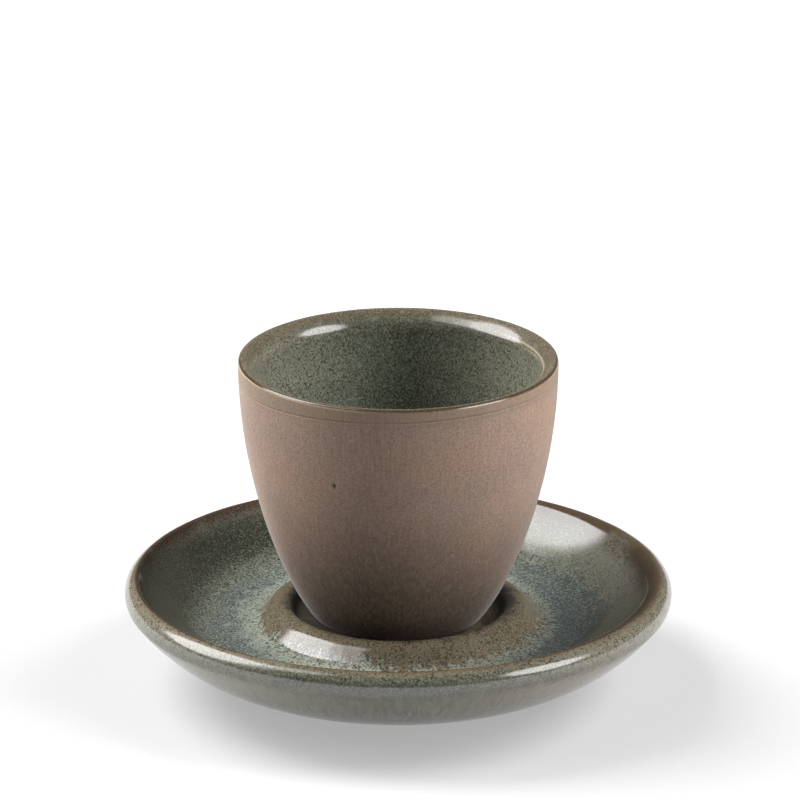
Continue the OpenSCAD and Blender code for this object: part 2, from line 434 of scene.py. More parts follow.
# Glaze: grey-green with dark specks, brown where it thins over an edge and blue where it pools
glazeLook = {
    "green": (0.076, 0.086, 0.061),
    "greenCloud": (0.098, 0.108, 0.080),
    # painted light: the inside lighter towards its left and right sides
    "litSide": (0.175, 0.152, 0.112),
    # painted shade, darker deeper down inside the cup
    "deepShade": (0.044, 0.051, 0.037),
    "paleGreen": (0.205, 0.218, 0.170),
    "darkSpeck": (0.026, 0.029, 0.020),
    "brown": (0.070, 0.056, 0.036),
    "gold": (0.205, 0.165, 0.105),
    "orange": (0.28, 0.155, 0.065),
    # painted highlight along the lip's edges
    "glintCream": (0.58, 0.46, 0.30),
    "lineDark": (0.034, 0.021, 0.010),
    "roughness": 0.14,
    "ior": 1.9,
    "cloudSize": 7,
    "cloudStep": (0.35, 0.68),
    "swaySize": 2.2,
    "rippleSize": 3.2,
    "skinSize": 0.7,
    "bumps": ((0.05, 0.12), (0.004, 0.18), (0.002, 0.14)),  # of ripple, skin and specks: mm and strength
}


# Sizes of fine and coarse specks in mm, and how wide the step between tones is
speckSizes = {
    "cup": (0.38, 0.85, 0.038), "lip": (0.34, 0.7, 0.05),
    "saucer": (0.41, 0.95, 0.036), "recess": (0.5, 1.15, 0.03),
}
# Where flecks and specks start in the noise, and after how many such steps they are full
speckLook = {
    "fleckFrom": 0.515, "fleckSteps": 2, "speckFrom": 0.475, "speckSteps": -1.4, "fineShare": 0.65,
}


def speckle(tree, place, sizes):  # masks of pale flecks and of dark specks
    fineSize, coarseSize, spread = sizes
    fine = grain(tree, place, fineSize, 2.0, 0.65)
    coarse = grain(tree, place, coarseSize, 2.0, 0.6)
    share = speckLook["fineShare"]
    both = calc(tree, "ADD", calc(tree, "MULTIPLY", fine, share), calc(tree, "MULTIPLY", coarse, 1 - share))
    fleckFrom, speckFrom = speckLook["fleckFrom"], speckLook["speckFrom"]
    flecks = rise(tree, fine, fleckFrom, fleckFrom + speckLook["fleckSteps"] * spread)
    return flecks, rise(tree, both, speckFrom, speckFrom + speckLook["speckSteps"] * spread)


def finishGlaze(tree, place, colour, specks, roughness=glazeLook["roughness"], moreBumps=()):
    ripple = grain(tree, place, glazeLook["rippleSize"], 1.0)
    skin = grain(tree, place, glazeLook["skinSize"], 1.0)
    shader = {"Base Color": colour, "Roughness": roughness, "IOR": glazeLook["ior"]}
    bumps = [(mask, *bump) for mask, bump in zip((ripple, skin, specks), glazeLook["bumps"])]
    finishMaterial(tree, shader, bumps + list(moreBumps))


# Places in the cup: across is mm to the right, and the others are mm from the lip's crest, growing inwards
cupGlazePlaces = {
    "leftGlintAcross": (-2, -16),
    "litSideAcross": (8, 27),
    "farRightAcross": (20, 27),
    "deepShade": (12, 28),
    "thin": (5.6, 1.8),
    "thinSway": 5,
    "innerGlint": (2.95, 3.35, 0.2),
    "darkLine": (-0.80, -0.2, 0.2),
    "edge": (-0.80, -1.0),
}


def makeCupGlaze():
    material, tree = newMaterial("cup glaze")
    look, places = glazeLook, cupGlazePlaces
    place = objectPlace(tree)
    across = addNode(tree, "SeparateXYZ", {0: place}).outputs[0]
    run = attribute(tree, "run")
    cloud = rise(tree, grain(tree, place, look["cloudSize"], 3.0), *look["cloudStep"])
    colour = mixColour(tree, cloud, look["green"], look["greenCloud"])
    # painted light on the inside's left and right sides
    aside = riseInMm(tree, calc(tree, "ABSOLUTE", across), places["litSideAcross"])
    colour = paint(tree, colour, look["litSide"], aside, amount=0.6)
    # painted shade deeper down inside the cup
    colour = paint(tree, colour, look["deepShade"], rise(tree, run, *places["deepShade"]), amount=0.7)
    flecks, specks = speckle(tree, place, speckSizes["cup"])
    colour = paint(tree, colour, look["paleGreen"], flecks, amount=0.85)
    colour = paint(tree, colour, look["darkSpeck"], specks, amount=0.9)
    goldFlecks, brownSpecks = speckle(tree, place, speckSizes["lip"])
    brown = paint(tree, look["brown"], look["gold"], goldFlecks, amount=0.6)
    brown = paint(tree, brown, look["lineDark"], brownSpecks, amount=0.6)
    sway = swing(tree, grain(tree, place, look["swaySize"], 3.0), places["thinSway"])
    thin = rise(tree, calc(tree, "ADD", run, sway), *places["thin"])
    colour = paint(tree, colour, brown, thin, amount=0.85)
    # painted highlight along the lip's inner edge on the far right
    farRight = riseInMm(tree, across, places["farRightAcross"])
    innerGlint = partOf(tree, farRight, band(tree, run, *places["innerGlint"]))
    colour = paint(tree, colour, look["glintCream"], innerGlint, amount=0.35)
    colour = paint(tree, colour, look["lineDark"], band(tree, run, *places["darkLine"]), amount=0.75)
    edge = rise(tree, run, *places["edge"])
    colour = paint(tree, colour, look["orange"], edge, amount=0.75)
    # painted highlight on the left of the lip's outer edge, over the orange edge
    leftEdge = partOf(tree, edge, riseInMm(tree, across, places["leftGlintAcross"]))
    colour = paint(tree, colour, look["glintCream"], leftEdge, amount=0.55)
    finishGlaze(tree, place, colour, specks)
    return material


# The saucer's glaze by the way along its outline from the crest of the rim, in mm: inwards is positive
saucerTones = {
    # painted shade: dark blue at the lowest edge of the belly
    "navyShade": (0.026, 0.030, 0.055),
    "slate": (0.046, 0.056, 0.061),
    "paleSage": (0.145, 0.185, 0.130),
    "oliveTan": (0.185, 0.155, 0.090),
    "tan": (0.150, 0.128, 0.094),
    "olive": (0.058, 0.057, 0.038),
    "brown": (0.090, 0.062, 0.034),
    "darkSage": (0.084, 0.086, 0.060),
    "redBrown": (0.040, 0.022, 0.011),
    "umber": (0.058, 0.047, 0.031),
    "sage": (0.070, 0.078, 0.061),
    "teal": (0.068, 0.086, 0.090),
    "celadon": (0.192, 0.212, 0.178),
    "ring": (0.088, 0.070, 0.045),
    # painted shade round the well, where the cup's foot stands
    "wellShade": (0.012, 0.010, 0.006),
    "mist": (0.16, 0.165, 0.125),
    # painted light on the bowl's slope, on the far right and, less, on the far left
    "slopeRightLit": (0.150, 0.143, 0.122),
    "slopeLeftLit": (0.084, 0.086, 0.064),
    "shaded": (0.016, 0.018, 0.010),
    # the warm tan glaze on the belly's right, painted lighter where the lamp falls; on the front left,
    # painted light
    "flankRightLit": (0.34, 0.265, 0.195),
    "flankLeftLit": (0.29, 0.285, 0.20),
    "streakDark": (0.042, 0.042, 0.020),
    "streakPale": (0.265, 0.260, 0.160),
    "streakGreen": (0.085, 0.140, 0.095),
    "fleck": (0.205, 0.220, 0.180),
    "fleckBlue": (0.100, 0.114, 0.112),
}
# navyShade at the foot of the belly and wellShade round the well are painted shade
saucerZones = [
    (-34, "navyShade"), (-31, "slate"), (-27, "paleSage"), (-17, "paleSage"), (-12, "oliveTan"),
    (-8.5, "oliveTan"), (-6.2, "darkSage"), (-0.9, "darkSage"), (-0.6, "brown"), (-0.3, "brown"),
    (0.1, "redBrown"), (1.4, "redBrown"), (2.6, "umber"), (4, "olive"), (9, "olive"), (18, "sage"),
    (23.5, "teal"), (26.4, "celadon"), (29.4, "celadon"), (31.4, "ring"), (37, "ring"),
    (38.6, "wellShade"), (43, "wellShade"), (48, "umber"), (62, "umber"),
]
# How strongly dark specks and pale flecks show along the same way
speckZones = [
    (-34, 0.0), (-9, 0.15), (-5, 0.5), (-2.5, 0.9), (2, 0.8), (5, 0.5), (10, 0.6), (15, 1.0), (33, 1.0),
    (36, 0.75), (38, 0.2), (44, 0.2), (48, 0.7), (62, 0.7),
]
fleckZones = [
    (-34, 0.0), (-12, 0.2), (-3, 0.7), (-1.2, 0.7), (-0.6, 0.3), (0.4, 0.15), (1.2, 0.2), (4, 0.25),
    (10, 0.3), (18, 0.8), (28, 0.8), (30, 0.45), (36, 0.35), (38, 0.0), (44, 0.0), (48, 0.3), (62, 0.3),
]
# Bands along the same way: from, to, and how soft their ends are
saucerBands = {
    "wideBrown": (-4.2, -0.4, 1.0), "edges": (-2.2, 1.2, 0.4), "crestLine": (-0.25, 0.4, 0.15),
    "slope": (4, 13, 2), "bluish": (14, 28.5, 3), "crowded": (29.4, 31.4, 0.7), "ring": (30, 40, 0.8),
    "dryWell": (38, 45, 1.5),
}
# Where a mask comes in and where it is full along the same way
saucerRises = {"loose": (0.6, 6), "outside": (-2, -9), "flank": (-28, -14), "ringFoot": (18, 27)}
# The same by mm to the right, and backwards for the back
saucerSides = {
    "right": (5, 40), "farRight": (36, 50), "farLeft": (-40, -53), "left": (-5, -25), "back": (8, 34),
    "frontRight": (-14, 14), "frontLeft": (-6, -34), "bothSides": (22, 46),
}
# Noise: size in mm, detail and roughness; the zones' borders are moved by zoneSway in mm
saucerNoise = {
    "cloud": (9, 3.0, 0.5), "sway": (2.6, 3.0, 0.6), "dust": (0.42, 2.0, 0.65), "patches": (5, 2.0, 0.5),
    "crowd": (0.75, 2.0, 0.6),
}
saucerStreak = {"width": 1.3, "length": 6, "detail": 3.0, "roughness": 0.6}
zoneSway = {"sway": 9, "streaks": 6, "dust": 8, "ringFoot": 1.8}
dryRoughness = 0.45  # what the well's matt ring has more than the rest


def makeSaucerGlaze():
    material, tree = newMaterial("saucer glaze")
    tones = saucerTones
    place = objectPlace(tree)
    across, backward = addNode(tree, "SeparateXYZ", {0: place}).outputs[:2]
    run = attribute(tree, "run")

    def beside(key, value=across):
        return riseInMm(tree, value, saucerSides[key])

    def noiseOf(key):
        return grain(tree, place, *saucerNoise[key])

    # The zones keep their places at the crest and wander away from it
    streaks = streakGrain(tree, place, run, saucerRadius, saucerStreak)
    loose = rise(tree, calc(tree, "ABSOLUTE", run), *saucerRises["loose"])
    moved = run
    for key, value in (("sway", noiseOf("sway")), ("streaks", streaks), ("dust", noiseOf("dust"))):
        moved = calc(tree, "ADD", moved, partOf(tree, loose, swing(tree, value, zoneSway[key])))
    ringFoot = rise(tree, run, *saucerRises["ringFoot"])
    ringFoot = partOf(tree, beside("frontRight"), ringFoot, zoneSway["ringFoot"])
    moved = calc(tree, "ADD", moved, ringFoot)  # the ring's brown reaches further out there
    colour = alongWay(tree, moved, [(at, tones[tone]) for at, tone in saucerZones])

    slope = band(tree, run, *saucerBands["slope"])
    bluish = partOf(tree, beside("right"), band(tree, moved, *saucerBands["bluish"]))
    bothSides = beside("bothSides", calc(tree, "ABSOLUTE", across))
    wideBrown = partOf(tree, bothSides, band(tree, moved, *saucerBands["wideBrown"]))
    outside = rise(tree, moved, *saucerRises["outside"])
    flank = partOf(tree, outside, rise(tree, run, *saucerRises["flank"]))
    streakTone = mixColour(tree, rise(tree, streaks, 0.38, 0.62), tones["streakDark"], tones["streakPale"])
    patches = rise(tree, noiseOf("patches"), 0.38, 0.62)
    streakTone = paint(tree, streakTone, tones["streakGreen"], patches, amount=0.45)

    flecks, specks = speckle(tree, place, speckSizes["saucer"])
    flecks = partOf(tree, flecks, amountAlong(tree, run, fleckZones))
    specks = partOf(tree, specks, amountAlong(tree, run, speckZones))
    rimEdge, ringEdge = band(tree, run, *saucerBands["edges"]), band(tree, moved, *saucerBands["ring"])
    onEdges = calc(tree, "MAXIMUM", rimEdge, ringEdge)
    fleckTone = mixColour(tree, onEdges, tones["fleck"], glazeLook["gold"])
    fleckTone = paint(tree, fleckTone, tones["fleckBlue"], bluish, amount=0.8)
    crowded = calc(tree, "MAXIMUM", bluish, band(tree, moved, *saucerBands["crowded"]))
    moreSpecks = partOf(tree, crowded, rise(tree, noiseOf("crowd"), 0.50, 0.42))

    layers = [  # tone, where it lies and how strongly
        (tones["mist"], rise(tree, noiseOf("cloud"), 0.5, 0.75), 0.3),
        (tones["slate"], bluish, 0.85),
        # painted light: the slope lighter on the far right and far left
        (tones["slopeRightLit"], partOf(tree, slope, beside("farRight")), 0.6),
        (tones["slopeLeftLit"], partOf(tree, slope, beside("farLeft")), 0.8),
        (tones["shaded"], partOf(tree, slope, beside("left"), beside("back", backward)), 0.92),
        (tones["tan"], wideBrown, 0.8),
        (streakTone, outside, 0.45),
        # painted light on the belly's sides: tan glaze lit on the right, pale on the front left
        (tones["flankRightLit"], partOf(tree, flank, beside("right")), 0.65),
        (tones["flankLeftLit"], partOf(tree, flank, beside("frontLeft")), 0.6),
        (fleckTone, flecks, 0.85),
        (glazeLook["darkSpeck"], specks, 0.92),
        (glazeLook["darkSpeck"], moreSpecks, 0.75),
        (glazeLook["lineDark"], band(tree, run, *saucerBands["crestLine"]), 0.6),
    ]
    for tone, mask, amount in layers:
        colour = paint(tree, colour, tone, mask, amount)
    dry = calc(tree, "MULTIPLY", band(tree, run, *saucerBands["dryWell"]), dryRoughness)
    roughness = calc(tree, "ADD", dry, glazeLook["roughness"])
    finishGlaze(tree, place, colour, specks, roughness, [(partOf(tree, streaks, outside), 0.04, 0.25)])
    return material


recessLook = {"cloudSize": 8, "cloudStep": (0.35, 0.65)}


def makeRecessGlaze():
    material, tree = newMaterial("recess glaze")
    place = objectPlace(tree)
    cloud = rise(tree, grain(tree, place, recessLook["cloudSize"], 3.0), *recessLook["cloudStep"])
    colour = mixColour(tree, cloud, saucerTones["slate"], glazeLook["greenCloud"])
    flecks, specks = speckle(tree, place, speckSizes["recess"])
    colour = paint(tree, colour, glazeLook["paleGreen"], flecks, amount=0.5)
    colour = paint(tree, colour, glazeLook["darkSpeck"], specks, amount=0.8)
    finishGlaze(tree, place, colour, specks)
    return material


# The cup
cupShape = {
    "footRadius": 18.2, "footRound": 0.6, "footLean": 42, "footPull": 0.148, "lipPull": 0.456,
    "footRing": 4.6, "footRecess": 1.4, "wall": 3.8, "lipRound": 0.75, "bevel": 41, "bevelSwell": 9,
    "innerRound": 2.0, "floor": 5.0, "floorRadius": 12, "innerLipPull": 0.236, "innerFloorPull": 0.229,
}
# The lip's inner edge is rounder round this angle from the front, which grows to the right
softLip = {"innerRound": 5.0, "centre": -130, "full": 45, "none": 85}
cupHeight = lipZ - seatZ
footCentre = Vector((cupShape["footRadius"] - cupShape["footRound"], cupShape["footRound"]))
lipCentre = Vector((cupRadius - cupShape["lipRound"], cupHeight - cupShape["lipRound"]))
bevelTurn = math.radians(cupShape["bevel"])
cupWallCurve = curveBetween(
    footCentre + cupShape["footRound"] * heading(-cupShape["footLean"]), Vector((cupRadius, lipCentre.y)),
    90 - cupShape["footLean"], 90, cupShape["footPull"], cupShape["lipPull"],
)


def raised(points, height):
    return [p + Vector((0, height)) for p in points]


def lipInnerCentre(innerRound):
    x = cupRadius - cupShape["wall"] + innerRound
    bevelRun = lipCentre.x - x + (innerRound - cupShape["lipRound"]) * math.sin(bevelTurn)
    drop = (innerRound - cupShape["lipRound"]) * math.cos(bevelTurn) + bevelRun * math.tan(bevelTurn)
    return Vector((x, lipCentre.y - drop))


def cupInside(depth, share=1, innerRound=cupShape["innerRound"]):
    innerCentre = lipInnerCentre(innerRound)
    lipRound, wall, floor = cupShape["lipRound"], cupShape["wall"], cupShape["floor"]
    flat, steep = cupShape["bevel"] - cupShape["bevelSwell"], cupShape["bevel"] + cupShape["bevelSwell"]
    bevel = curveBetween(
        lipCentre + lipRound * heading(90 + flat), innerCentre + innerRound * heading(90 + steep),
        180 + flat, 180 + steep, 1 / 3, 1 / 3,
    )
    points = arcPoints(lipCentre, lipRound - depth, 0, 90 + flat, round(18 * share))
    points += curvePoints(bevel, depth, evenly(0, 1, round(10 * share)))
    points += arcPoints(innerCentre, innerRound - depth, 90 + steep, 180, round(12 * share))
    inside = curveBetween(
        Vector((cupRadius - wall, innerCentre.y)), Vector((cupShape["floorRadius"], floor)),
        -90, 180, cupShape["innerLipPull"], cupShape["innerFloorPull"],
    )
    points += curvePoints(inside, depth, evenly(0, 1, round(84 * share)))
    floorEdge = Vector((cupShape["floorRadius"], floor - depth))
    return points + straight(floorEdge, Vector((0, floor - depth)), round(24 * share))


def cupOutside():
    ringInner = cupShape["footRadius"] - cupShape["footRing"]
    recess, footRound = cupShape["footRecess"], cupShape["footRound"]
    points = straight(Vector((0, recess)), Vector((ringInner - recess, recess)), 12)
    points += arcPoints(Vector((ringInner + footRound, footRound)), footRound, 225, 270, 6)
    points += arcPoints(footCentre, footRound, -90, -cupShape["footLean"], 6)
    return points + curvePoints(cupWallCurve, 0, evenly(0, 0.9, 78) + evenly(0.9, 1, 66))


# The incised line slants round the cup and has a burr beside it; drops are measured down from the lip. The
# slant is full from slantFull to slantLess, and gone above slantFrom and below slantEnd.
groove = {
    "drop": 3.95, "slant": 1.36, "highSide": 38, "width": 0.16, "depth": 0.14,
    "burr": 0.035, "burrDrop": 0.38, "burrWidth": 0.22, "shade": 0.25,
    "slantFrom": 0.9, "slantFull": 3.35, "slantLess": 4.6, "slantEnd": 17,
    "fade": 0.62, "fadeWaves": ((0.38, 2.3, 5.5), (0.25, 9, 1.5)),  # strength, lobes and seed of each
}
glazeEdge = {"sway": 0.16, "lobes": 7, "bead": 0.14, "swayFull": 1.0, "swayEnd": 3.0}
pit = {
    "angle": -24.2, "height": 52.84, "width": 0.30, "tall": 0.50, "lean": 0.35, "depth": 0.45,
    "shade": 1.15, "near": 2.2, "cuts": 4,
}
# Soft clouds and faint turning rings in the clay, in mm, fading to the lip and the foot
claySkin = {
    "cloudWidth": 11, "cloudHeight": 7, "cloudDepth": 0.035, "ringHeight": 1.9, "ringDepth": 0.012,
    "sunk": 0.02, "ringLobes": 0.4, "lip": (1.4, 6), "foot": (0.8, 4),
}
footHidden = 14  # nearer to the axis than this the foot stays plain
wallStart = 0.02  # the wall starts this far under the lip's round, in mm
glazeWave = {"depth": 0.05, "length": 6, "seed": 4.0, "lipShare": 0.35, "lipDrop": 1.2}


def grooveShift(angle, drop):
    steady = (drop - groove["slantFrom"]) / (groove["slantFull"] - groove["slantFrom"])
    steady = min(1, max(0, steady)) * (1 - smooth(groove["slantLess"], groove["slantEnd"], drop))
    return -groove["slant"] * math.cos(angle - math.radians(groove["highSide"])) * steady


def bell(distance, width):
    return math.exp(-(distance / width) ** 2)


def edgeSway(angle):
    lobes = glazeEdge["lobes"]
    return glazeEdge["sway"] * (waveAt(angle, lobes, 3.1) + 0.6 * waveAt(angle, 3 * lobes, 8.7))


wallTable = [(p.y, p.x) for p in curvePoints(cupWallCurve, 0, evenly(0, 1, 400))]


def wallRadius(height):
    above = bisect.bisect_right(wallTable, height, key=lambda spot: spot[0])
    above = min(max(above, 1), len(wallTable) - 1)
    (h0, r0), (h1, r1) = wallTable[above - 1], wallTable[above]
    return r0 + (r1 - r0) * (height - h0) / (h1 - h0)


def skinRelief(place, angle, height, drop):
    look = claySkin
    wide, tall = look["cloudWidth"] * mm, look["cloudHeight"] * mm
    swell = noise.fractal(Vector((place.x / wide, place.y / wide, place.z / tall)), 1.0, 2.0, 3)
    lobes = look["ringLobes"]
    spot = Vector((lobes * math.cos(angle), lobes * math.sin(angle), height / look["ringHeight"]))
    relief = look["cloudDepth"] * swell + look["ringDepth"] * noise.noise(spot) - look["sunk"]
    return smooth(*look["lip"], drop) * smooth(*look["foot"], height) * relief


pitAngle = math.radians(pit["angle"])
pitRadius = wallRadius(pit["height"] - seatZ) * mm
pitCentre = Vector((pitRadius * math.sin(pitAngle), -pitRadius * math.cos(pitAngle), pit["height"] * mm))


def pitShare(place):  # 1 in the middle of the pit
    aside = (place.xy - pitCentre.xy).length / mm
    above = (place.z - pitCentre.z) / mm
    return bell(aside, pit["width"]) * bell(above + pit["lean"] * aside, pit["tall"])


def makeCupClay():
    outside = cupOutside()
    outline = raised(outside + cupInside(glazeThick, hiddenShare), seatZ)
    softOutline = raised(outside + cupInside(glazeThick, hiddenShare, softLip["innerRound"]), seatZ)
    lipEdge = Vector((cupRadius, lipCentre.y + seatZ))
    mesh = turnOutline(outline, lipEdge, lipEdge, softOutline)
    blendOutlines(mesh, softLip)
    nearFaces = [f for f in mesh.faces if (f.calc_center_median() - pitCentre).length < pit["near"] * mm]
    nearEdges = {e for f in nearFaces for e in f.edges}
    bmesh.ops.subdivide_edges(mesh, edges=list(nearEdges), cuts=pit["cuts"], use_grid_fill=True)
    hollowShadeLayer = mesh.verts.layers.float.new("hollowShade")
    shownLayer = mesh.verts.layers.float["shown"]
    for vert in mesh.verts:
        height = vert.co.z / mm - seatZ
        radius = math.hypot(vert.co.x, vert.co.y) / mm
        if vert[shownLayer] < 0.5 or height < cupShape["footRound"] or radius < footHidden:
            continue
        angle = angleOf(vert.co)
        drop = cupHeight - height
        newHeight = height - grooveShift(angle, drop)
        if drop < glazeEdge["swayEnd"]:
            newHeight += edgeSway(angle) * smooth(glazeEdge["swayEnd"], glazeEdge["swayFull"], drop)
        fromLine = drop - groove["drop"]
        fade = groove["fade"]
        for strength, lobes, seed in groove["fadeWaves"]:
            fade += strength * waveAt(angle, lobes, seed)
        line = fade * bell(fromLine, groove["width"])
        burr = fade * bell(fromLine - groove["burrDrop"], groove["burrWidth"])
        hole = pitShare(Vector((vert.co.x, vert.co.y, (newHeight + seatZ) * mm)))
        relief = skinRelief(vert.co, angle, height, drop) + groove["burr"] * burr
        relief -= groove["depth"] * line + pit["depth"] * hole
        # how much shade is painted into the pit and the incised line
        vert[hollowShadeLayer] = min(1, pit["shade"] * hole) + groove["shade"] * line
        onWall = drop > cupShape["lipRound"] + wallStart
        share = ((wallRadius(newHeight) if onWall else radius) + relief) / radius
        vert.co = Vector((vert.co.x * share, vert.co.y * share, (newHeight + seatZ) * mm))
    return mesh


def cupGlazeOutline(innerRound):
    shown = cupInside(0, 1, innerRound)
    bead = glazeEdge["bead"]
    edgeStart = shown[0]
    roundEdge = [edgeStart + Vector((-glazeThick, 0)), edgeStart + Vector((-bead, 0))]
    roundEdge += arcPoints(edgeStart + Vector((-bead, bead)), bead, -80, 0, 5)
    shown = [p for p in shown if p.y > edgeStart.y + bead or p.x < cupRadius - 1]
    return raised(roundEdge + shown + cupInside(glazeThick, hiddenShare, innerRound)[::-1], seatZ)


def makeCupGlazeMesh():
    outline = cupGlazeOutline(cupShape["innerRound"])
    crest = Vector((lipCentre.x, cupHeight + seatZ))
    floorMiddle = Vector((0, cupShape["floor"] + seatZ))
    mesh = turnOutline(outline, crest, floorMiddle, cupGlazeOutline(softLip["innerRound"]))
    blendOutlines(mesh, softLip)

    def weight(vert):  # the lip keeps its sharper shape
        return glazeWave["lipShare"] if vert.co.z > (lipZ - glazeWave["lipDrop"]) * mm else 1.0

    waveSkin(mesh, glazeWave, weight)
    for vert in mesh.verts:
        drop = lipZ - vert.co.z / mm
        if math.hypot(vert.co.x, vert.co.y) > (lipCentre.x + 0.2) * mm and drop < glazeEdge["swayEnd"]:
            vert.co.z += edgeSway(angleOf(vert.co)) * smooth(0.0, glazeEdge["swayFull"], drop) * mm
    return mesh


# The saucer
saucerShape = {
    "rimRound": 3.5, "crestRound": 0.9, "crestAt": 66, "bellyAt": 38.5, "bellyPull": 0.346,
    "bowlSlope": 42, "bowlHollow": 6, "bowlRound": 10, "bowlDepth": 10,
    "ringHeight": 4.4, "ringRound": 2.5, "ringOuterRound": 3.8, "ringSlope": 50, "ringFootRound": 3,
    "wellClearance": 2.95, "wellSlope": 65, "wellRound": 1.0,
    "footRadius": 31, "footRing": 4.6, "footHeight": 2, "footSlope": 5.5, "footRound": 0.6,
    "cornerRound": 1.0, "recessEdge": 2.4, "recessHeight": 5.5, "recessSlope": 13, "glazeEdge": 0.8,
}
# The rim's crest is broader round this angle from the front, which grows to the right
softRim = {"crestRound": 3.0, "centre": 100, "full": 22, "none": 78}
saucerWave = {"depth": 0.07, "length": 7, "seed": 9.0, "fullFrom": 6}
rimRound = saucerShape["rimRound"]
ringRound, wellRound = saucerShape["ringRound"], saucerShape["wellRound"]
bowlRound, ringFootRound = saucerShape["bowlRound"], saucerShape["ringFootRound"]
footRadius, footRound = saucerShape["footRadius"], saucerShape["footRound"]
cornerRound = saucerShape["cornerRound"]
footInner = footRadius - saucerShape["footRing"]
troughZ = rimZ - saucerShape["bowlDepth"]
ringZ = troughZ + saucerShape["ringHeight"]
bowlWay = heading(saucerShape["bowlSlope"])
wellCentre = Vector((cupShape["footRadius"] + saucerShape["wellClearance"], seatZ + wellRound))
wellWay = heading(saucerShape["wellSlope"])
wellDrop = ringZ - seatZ - (ringRound + wellRound) * (1 - wellWay.x)
ringX = wellCentre.x + (wellRound + ringRound) * wellWay.y + wellDrop * wellWay.x / wellWay.y
ringCentre = Vector((ringX, ringZ - ringRound))
ringWay = heading(saucerShape["ringSlope"])
ringOuterRound = saucerShape["ringOuterRound"]
ringOuterCentre = Vector((ringX, ringZ - ringOuterRound))
ringRounds = ringOuterRound + ringFootRound
ringDrop = saucerShape["ringHeight"] - ringRounds * (1 - ringWay.x)
ringFootX = ringX + ringRounds * ringWay.y + ringDrop * ringWay.x / ringWay.y
ringFootCentre = Vector((ringFootX, troughZ + ringFootRound))
footCorner = Vector((footRadius + cornerRound, saucerShape["footHeight"] - cornerRound))
recessCorner = Vector((footInner - cornerRound, saucerShape["recessEdge"] - cornerRound))
recessSlope = saucerShape["recessSlope"]
recessCurve = curveBetween(
    Vector((0, saucerShape["recessHeight"])), recessCorner + cornerRound * heading(90 - recessSlope),
    0, -recessSlope, 1 / 3, 1 / 3,
)


def rimCentres(crestRound):  # of the crest's arc, the rim's arc and the arc at the bottom of the bowl
    way = (rimRound - crestRound) * heading(saucerShape["crestAt"])
    rimCentre = Vector((saucerRadius - rimRound, rimZ - crestRound - way.y))
    crestCentre = rimCentre + way
    bowlDrop = crestCentre.y + crestRound * bowlWay.x - troughZ - bowlRound * (1 - bowlWay.x)
    bowlX = crestCentre.x - (crestRound + bowlRound) * bowlWay.y - bowlDrop * bowlWay.x / bowlWay.y
    return crestCentre, rimCentre, Vector((bowlX, troughZ + bowlRound))


def saucerTop(depth, share=1, crestRound=saucerShape["crestRound"]):
    bellyAt, crestAt, bellyPull = (saucerShape[key] for key in ("bellyAt", "crestAt", "bellyPull"))
    footSlope, ringSlope, wellSlope = (saucerShape[key] for key in ("footSlope", "ringSlope", "wellSlope"))
    crestCentre, rimCentre, bowlCentre = rimCentres(crestRound)
    belly = curveBetween(
        footCorner + cornerRound * heading(90 + footSlope), rimCentre + rimRound * heading(-bellyAt),
        footSlope, 90 - bellyAt, bellyPull, bellyPull,
    )

    def fewer(steps):
        return max(2, round(steps * share))

    steep = saucerShape["bowlSlope"] + saucerShape["bowlHollow"]
    shallow = saucerShape["bowlSlope"] - saucerShape["bowlHollow"]
    bowl = curveBetween(
        crestCentre + crestRound * heading(90 + steep), bowlCentre + bowlRound * heading(shallow - 90),
        180 + steep, 180 + shallow, 1 / 3, 1 / 3,
    )
    points = [Vector((footRadius - depth, saucerShape["glazeEdge"]))]
    points += arcPoints(footCorner, cornerRound + depth, 180, 90 + footSlope, fewer(8))
    points += curvePoints(belly, depth, evenly(0, 1, fewer(40)))
    points += arcPoints(rimCentre, rimRound - depth, -bellyAt, crestAt, fewer(26))
    points += arcPoints(crestCentre, crestRound - depth, crestAt, 90, fewer(6))
    points += arcPoints(crestCentre, crestRound - depth, 90, 90 + steep, fewer(10))
    points += curvePoints(bowl, depth, evenly(0, 1, fewer(18)))
    points += arcPoints(bowlCentre, bowlRound + depth, shallow - 90, -90, fewer(12))
    troughEnd = Vector((ringFootCentre.x, troughZ - depth))
    points += straight(points[-1], troughEnd, fewer(12))
    points += arcPoints(ringFootCentre, ringFootRound + depth, -90, -90 - ringSlope, fewer(8))
    points += arcPoints(ringOuterCentre, ringOuterRound - depth, 90 - ringSlope, 90, fewer(12))
    points += arcPoints(ringCentre, ringRound - depth, 90, 90 + wellSlope, fewer(14))
    points += arcPoints(wellCentre, wellRound + depth, wellSlope - 90, -90, fewer(6))
    return points + straight(Vector((wellCentre.x, seatZ - depth)), Vector((0, seatZ - depth)), fewer(16))


def saucerRecess(depth):
    points = curvePoints(recessCurve, depth, evenly(0, 1, 24))
    points += arcPoints(recessCorner, cornerRound + depth, 90 - recessSlope, 0, 8)
    return points + [Vector((footInner + depth, saucerShape["glazeEdge"]))]


def makeSaucerClay():
    footFace = arcPoints(Vector((footInner + footRound, footRound)), footRound, 180, 270, 6)
    footFace += arcPoints(Vector((footRadius - footRound, footRound)), footRound, 270, 360, 6)
    under = saucerRecess(glazeThick) + footFace
    outline = under + saucerTop(glazeThick, hiddenShare)
    softOutline = under + saucerTop(glazeThick, hiddenShare, softRim["crestRound"])
    mesh = turnOutline(outline, outline[0], outline[-1], softOutline)
    blendOutlines(mesh, softRim)
    return mesh


def saucerGlazeOutline(crestRound):
    return saucerTop(0, 1, crestRound) + saucerTop(glazeThick, hiddenShare, crestRound)[::-1]


